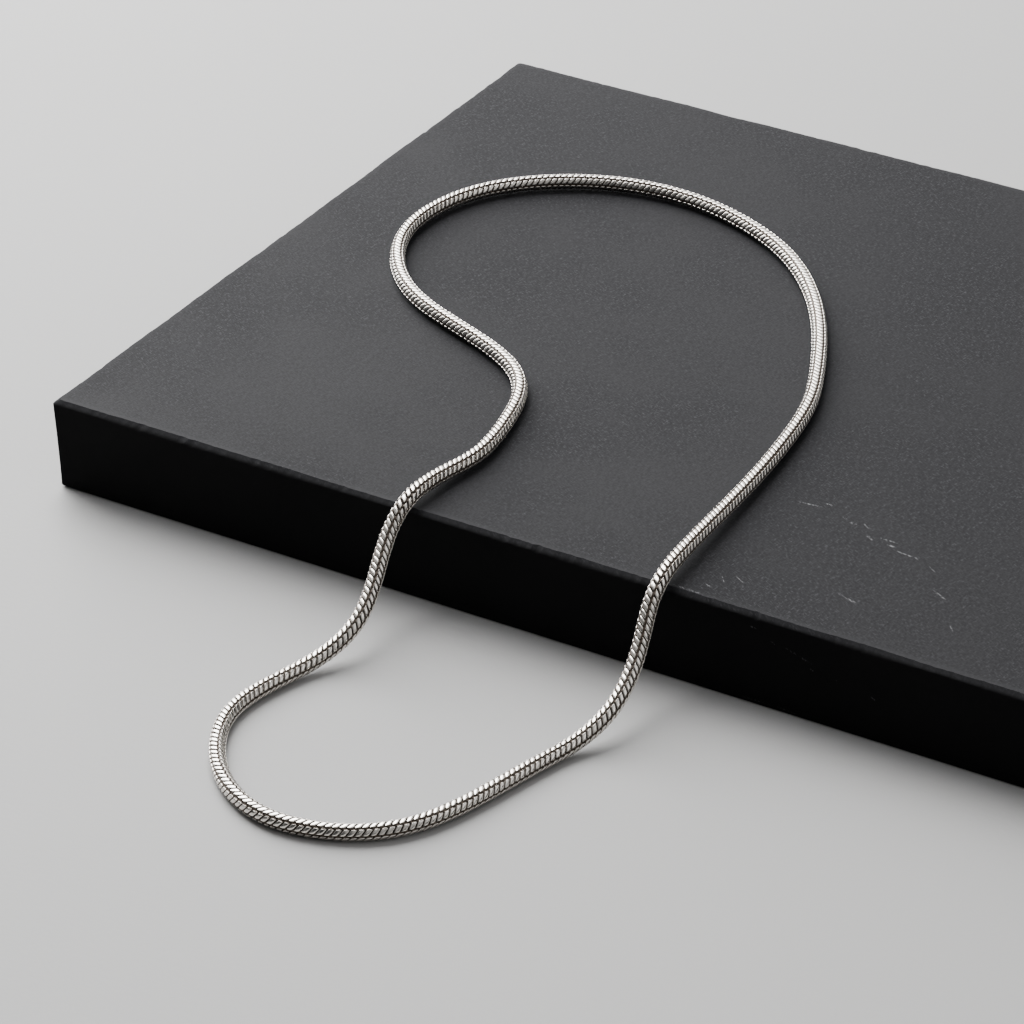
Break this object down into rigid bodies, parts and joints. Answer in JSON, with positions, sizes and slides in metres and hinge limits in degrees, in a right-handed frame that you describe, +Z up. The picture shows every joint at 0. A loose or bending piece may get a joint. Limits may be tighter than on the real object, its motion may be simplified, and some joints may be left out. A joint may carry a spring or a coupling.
{
  "type": "snake chain on a display block",
  "caption": "Closed loop of round snake chain, laid partly on a low rectangular stone display block and partly over its front edge on the surface in front of it.",
  "frame": {"origin": "centre of the block's underside, on the surface it stands on", "axes": "+X along the block's front edge, to the right as seen from the front; +Y from the front edge to the back; +Z up"},
  "size_m": [0.25, 0.2387, 0.022],
  "materials": {
    "chain_metal": "polished",
    "block_stone": "honed matt"
  },
  "bodies": {
    "root": {"chain": "chain_metal", "block": "block_stone"}
  },
  "joints": []
}
